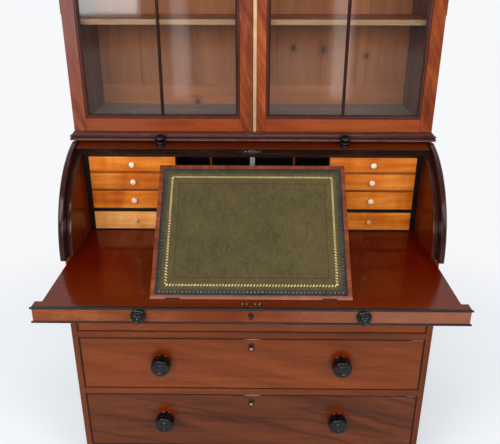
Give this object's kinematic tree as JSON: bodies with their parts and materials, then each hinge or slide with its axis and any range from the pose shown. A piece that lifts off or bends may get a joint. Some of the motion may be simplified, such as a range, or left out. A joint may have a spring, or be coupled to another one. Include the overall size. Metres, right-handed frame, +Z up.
{
  "type": "cylinder bureau bookcase",
  "caption": "Mahogany cylinder desk with a roll-back curved lid, pull-out writing slide with a propped leather slope, fitted drawers, long drawers below and a glazed bookcase above.",
  "frame": {"origin": "on the floor, under the middle of the whole part's box with the slide drawn out", "axes": "+Z up, front faces -Y, +X to the right seen from the front"},
  "size_m": [1.178, 0.8614, 2.2725],
  "materials": {
    "mahogany": "french polished mahogany",
    "figured_mahogany": "figured mahogany veneer, polished",
    "slide_mahogany": "deep red polished mahogany",
    "dark_mahogany": "dark polished mahogany moulding",
    "satinwood": "polished satinwood",
    "pine": "plain pine, waxed",
    "ebonised": "ebonised and polished turned wood",
    "bone": "polished turned bone",
    "brass": "worn satin brass",
    "steel": "dull old steel",
    "glass": "clear old glass",
    "leather": "mottled olive leather with gilt and blind tooled borders"
  },
  "bodies": {
    "carcass": {"bun_feet": "dark_mahogany", "plinth": "mahogany", "carcass_side_left": "mahogany", "carcass_side_right": "mahogany", "side_linings": "slide_mahogany", "quadrant_reeds": "dark_mahogany", "carcass_back": "pine", "drawer_rails": "mahogany", "bureau_top": "mahogany", "waist_moulding": "dark_mahogany", "fitment_case": "dark_mahogany", "pigeonhole_dividers": "mahogany", "bookcase_carcass": "mahogany", "bookcase_back": "pine", "bookcase_shelves": "pine", "cornice": "mahogany", "door_hinges": "brass"},
    "lid": {"cylinder_lid": "figured_mahogany", "lid_knobs": "ebonised", "lid_link_plate": "steel"},
    "slide": {"slide_board": "slide_mahogany", "slide_front": "figured_mahogany", "slide_knobs": "ebonised", "slide_lock": "brass", "slope_hinges": "brass"},
    "slope": {"slope_frame": "mahogany", "slope_leather": "leather"},
    "prop": {"slope_prop": "mahogany"},
    "door_left": {"door_left_frame": "mahogany", "door_left_glass": "glass"},
    "door_right": {"door_right_frame": "mahogany", "door_right_glass": "glass", "door_astragal": "brass", "door_lock": "brass"},
    "long_drawer_1": {"long_drawer_1": "figured_mahogany", "long_drawer_knobs_1": "ebonised", "long_drawer_lock_1": "brass"},
    "long_drawer_2": {"long_drawer_2": "figured_mahogany", "long_drawer_knobs_2": "ebonised", "long_drawer_lock_2": "brass"},
    "long_drawer_3": {"long_drawer_3": "figured_mahogany", "long_drawer_knobs_3": "ebonised", "long_drawer_lock_3": "brass"},
    "small_drawer_left_1": {"small_drawer_left_1": "satinwood", "bone_knob_left_1": "bone"},
    "small_drawer_left_2": {"small_drawer_left_2": "satinwood", "bone_knob_left_2": "bone"},
    "small_drawer_left_3": {"small_drawer_left_3": "satinwood", "bone_knob_left_3": "bone"},
    "small_drawer_left_4": {"small_drawer_left_4": "satinwood", "bone_knob_left_4": "bone"},
    "small_drawer_right_1": {"small_drawer_right_1": "satinwood", "bone_knob_right_1": "bone"},
    "small_drawer_right_2": {"small_drawer_right_2": "satinwood", "bone_knob_right_2": "bone"},
    "small_drawer_right_3": {"small_drawer_right_3": "satinwood", "bone_knob_right_3": "bone"},
    "small_drawer_right_4": {"small_drawer_right_4": "satinwood", "bone_knob_right_4": "bone"}
  },
  "joints": [
    {"name": "lid_roll", "type": "hinge", "parent": "carcass", "child": "lid", "pos_m": [0, 0.14631, 0.7805], "axis": [-1, 0, 0], "range_deg": [-72.94, 0]},
    {"name": "slide_travel", "type": "slide", "parent": "carcass", "child": "slide", "axis": [0, -1, 0], "range_m": [-0.2476, 0]},
    {"name": "slope_tilt", "type": "hinge", "parent": "slide", "child": "slope", "pos_m": [0, -0.35699, 0.78], "axis": [1, 0, 0], "range_deg": [-43.7, 0]},
    {"name": "prop_fold", "type": "hinge", "parent": "slope", "child": "prop", "pos_m": [0, -0.25487, 0.85407], "axis": [-1, 0, 0], "range_deg": [-87.4, 0]},
    {"name": "long_drawer_1_pull", "type": "slide", "parent": "carcass", "child": "long_drawer_1", "axis": [0, -1, 0], "range_m": [0, 0.36]},
    {"name": "long_drawer_2_pull", "type": "slide", "parent": "carcass", "child": "long_drawer_2", "axis": [0, -1, 0], "range_m": [0, 0.36]},
    {"name": "long_drawer_3_pull", "type": "slide", "parent": "carcass", "child": "long_drawer_3", "axis": [0, -1, 0], "range_m": [0, 0.36]},
    {"name": "small_drawer_left_1_pull", "type": "slide", "parent": "carcass", "child": "small_drawer_left_1", "axis": [0, -1, 0], "range_m": [0, 0.11]},
    {"name": "small_drawer_left_2_pull", "type": "slide", "parent": "carcass", "child": "small_drawer_left_2", "axis": [0, -1, 0], "range_m": [0, 0.11]},
    {"name": "small_drawer_left_3_pull", "type": "slide", "parent": "carcass", "child": "small_drawer_left_3", "axis": [0, -1, 0], "range_m": [0, 0.11]},
    {"name": "small_drawer_left_4_pull", "type": "slide", "parent": "carcass", "child": "small_drawer_left_4", "axis": [0, -1, 0], "range_m": [0, 0.11]},
    {"name": "small_drawer_right_1_pull", "type": "slide", "parent": "carcass", "child": "small_drawer_right_1", "axis": [0, -1, 0], "range_m": [0, 0.11]},
    {"name": "small_drawer_right_2_pull", "type": "slide", "parent": "carcass", "child": "small_drawer_right_2", "axis": [0, -1, 0], "range_m": [0, 0.11]},
    {"name": "small_drawer_right_3_pull", "type": "slide", "parent": "carcass", "child": "small_drawer_right_3", "axis": [0, -1, 0], "range_m": [0, 0.11]},
    {"name": "small_drawer_right_4_pull", "type": "slide", "parent": "carcass", "child": "small_drawer_right_4", "axis": [0, -1, 0], "range_m": [0, 0.11]},
    {"name": "door_left_swing", "type": "hinge", "parent": "carcass", "child": "door_left", "pos_m": [-0.5492, 0.12541, 1.646], "axis": [0, 0, -1], "range_deg": [0, 110]},
    {"name": "door_right_swing", "type": "hinge", "parent": "carcass", "child": "door_right", "pos_m": [0.5492, 0.12541, 1.646], "axis": [0, 0, 1], "range_deg": [0, 110]}
  ],
  "couplings": [
    {"joint": "slope_tilt", "follows": "slide_travel", "rad_per_m": 3.0804},
    {"joint": "prop_fold", "follows": "slide_travel", "rad_per_m": 6.1608}
  ]
}
